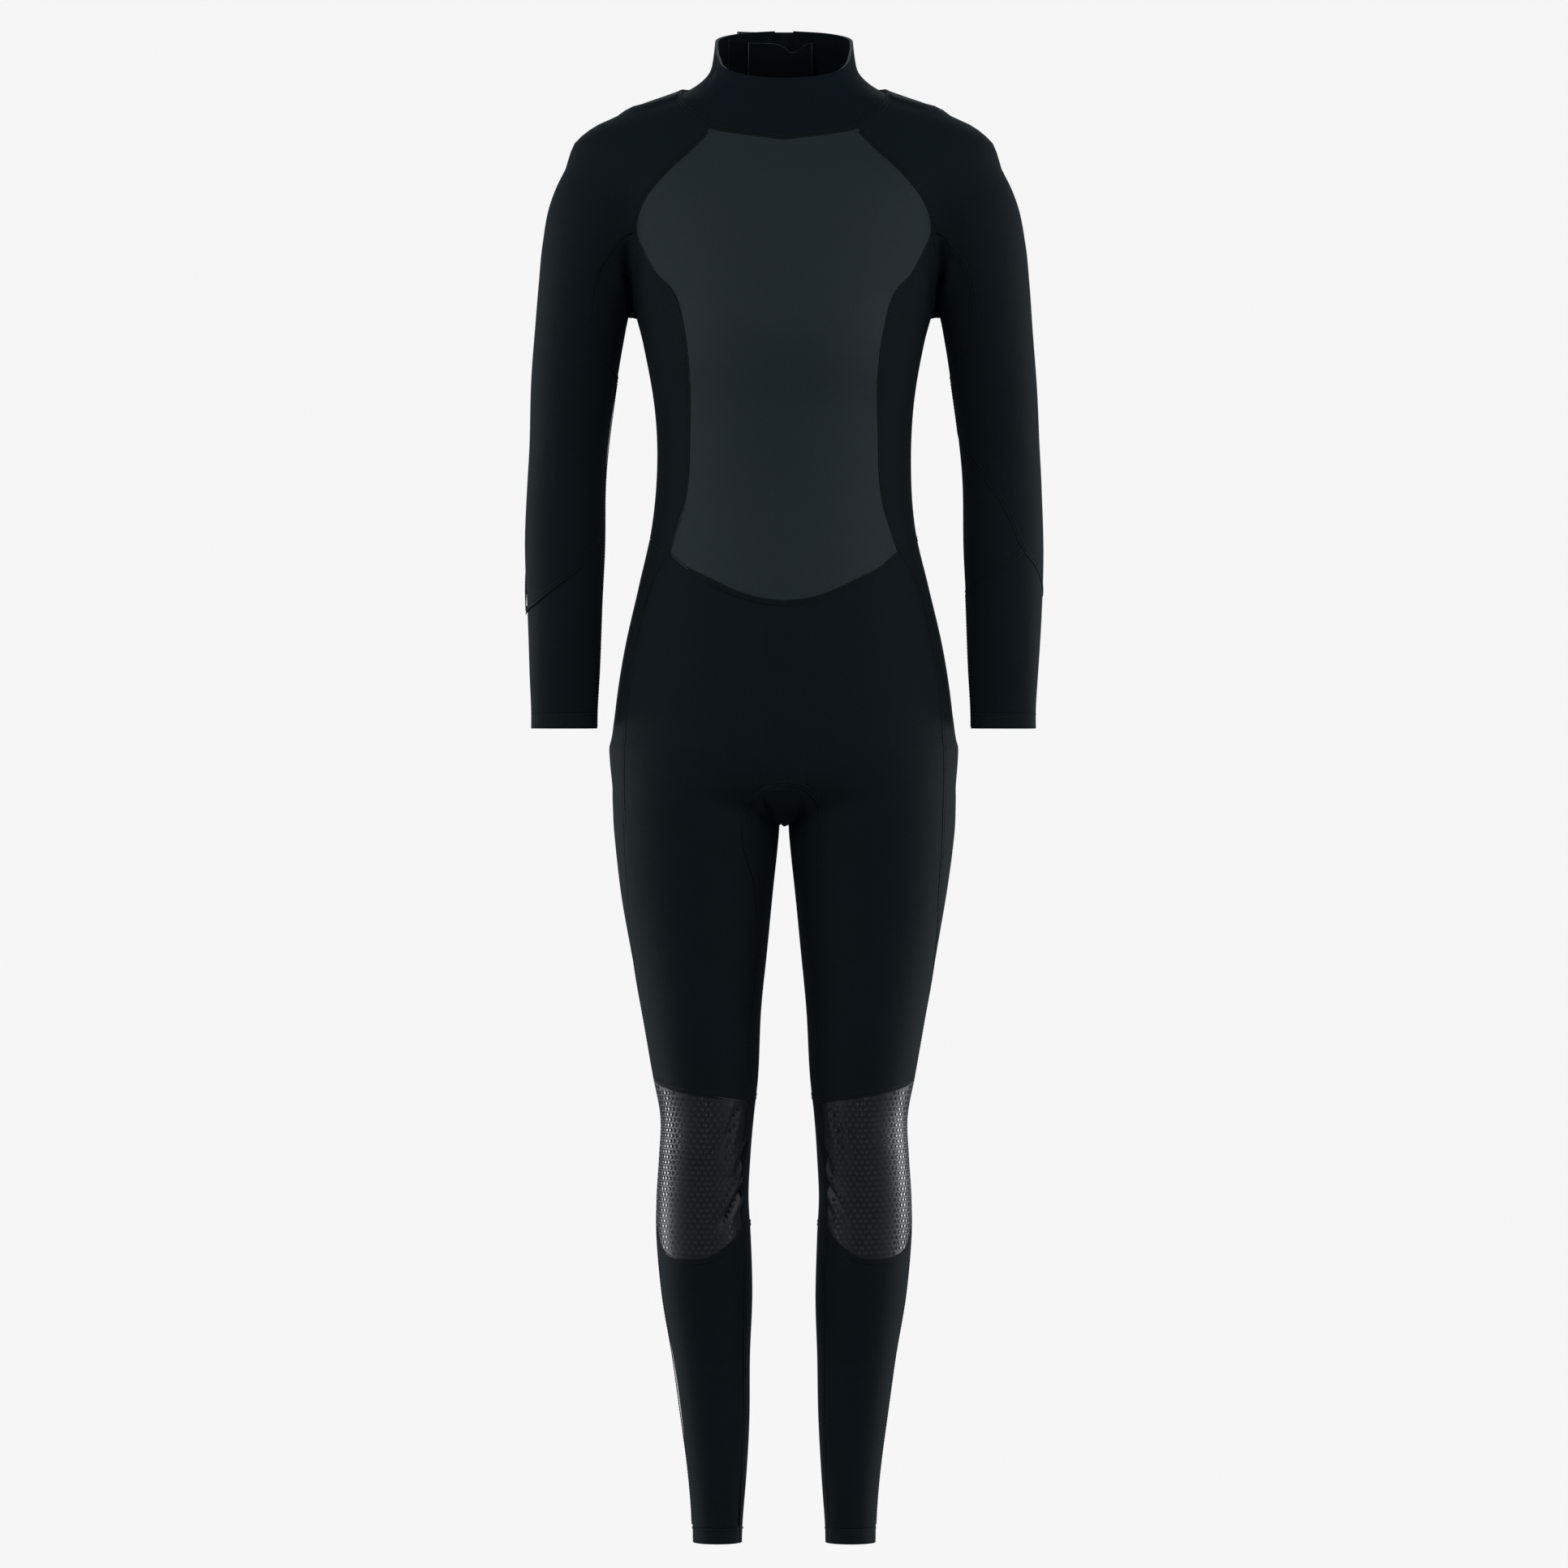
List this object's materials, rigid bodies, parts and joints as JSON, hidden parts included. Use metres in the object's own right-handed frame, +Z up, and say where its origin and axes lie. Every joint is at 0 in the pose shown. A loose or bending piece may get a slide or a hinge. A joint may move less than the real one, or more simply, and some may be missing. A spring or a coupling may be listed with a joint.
{
  "type": "full wetsuit",
  "caption": "Full-length neoprene wetsuit with raglan sleeves, smooth chest panel, printed knee pads, stand collar with a hook-and-loop tab and a back zip.",
  "frame": {"origin": "centre of the neck opening at the base of the collar", "axes": "+Z up towards the collar, +X towards the wearer's left, -Y towards the front"},
  "size_m": [0.4951, 0.2414, 1.4466],
  "materials": {
    "black_jersey": "matt nylon jersey over neoprene",
    "mesh_skin_neoprene": "matt embossed skin of closed-cell neoprene",
    "hem_jersey": "matt jersey, turned and stitched",
    "collar_jersey": "matt brushed jersey with a bare foam edge",
    "printed_rubber": "satin printed rubber dots on jersey",
    "hook_tape": "dull nylon hooks",
    "loop_tape": "brushed nylon loops",
    "zip_tape": "matt herringbone polyester tape",
    "zip_plastic": "satin moulded plastic",
    "slider_finish": "satin black enamel",
    "pull_tab_plastic": "satin moulded plastic"
  },
  "bodies": {
    "suit": {"chest_panel": "mesh_skin_neoprene", "left_side_panel": "black_jersey", "right_side_panel": "black_jersey", "left_back_panel": "black_jersey", "right_back_panel": "black_jersey", "front_lower_panel": "black_jersey", "seat_panel": "black_jersey", "crotch_gusset": "black_jersey", "left_underarm_gusset": "black_jersey", "right_underarm_gusset": "black_jersey", "left_raglan_sleeve": "black_jersey", "right_raglan_sleeve": "black_jersey", "left_elbow_panel": "black_jersey", "right_elbow_panel": "black_jersey", "left_forearm_panel": "black_jersey", "right_forearm_panel": "black_jersey", "left_wrist_hem": "hem_jersey", "right_wrist_hem": "hem_jersey", "left_knee_pad": "printed_rubber", "right_knee_pad": "printed_rubber", "left_knee_back_panel": "black_jersey", "right_knee_back_panel": "black_jersey", "left_shin_panel": "black_jersey", "right_shin_panel": "black_jersey", "left_calf_panel": "black_jersey", "right_calf_panel": "black_jersey", "left_ankle_hem": "hem_jersey", "right_ankle_hem": "hem_jersey", "collar": "collar_jersey", "collar_tab_base": "collar_jersey", "loop_patch": "loop_tape", "zip_guard_flap": "black_jersey", "collar_zip_tape": "zip_tape", "left_zip_tape": "zip_tape", "right_zip_tape": "zip_tape", "left_zip_teeth": "zip_plastic", "right_zip_teeth": "zip_plastic", "zip_top_stops": "zip_plastic", "zip_bottom_box": "zip_plastic"},
    "zip_slider": {"zip_slider": "slider_finish"},
    "pull_tab": {"pull_tab": "pull_tab_plastic"},
    "collar_tab": {"collar_tab": "collar_jersey", "hook_patch": "hook_tape"}
  },
  "joints": [
    {"name": "zip_slide", "type": "slide", "parent": "suit", "child": "zip_slider", "axis": [0, -0.0487, 0.9988], "range_m": [-0.42, 0]},
    {"name": "pull_tab_swing", "type": "hinge", "parent": "zip_slider", "child": "pull_tab", "pos_m": [0, 0.08383, -0.01903], "axis": [1, 0, 0], "range_deg": [0, 160]},
    {"name": "collar_tab_open", "type": "hinge", "parent": "suit", "child": "collar_tab", "pos_m": [-0.0309, 0.0586, 0.062], "axis": [0.113, -0.21, 0.9711], "range_deg": [0, 100]}
  ]
}
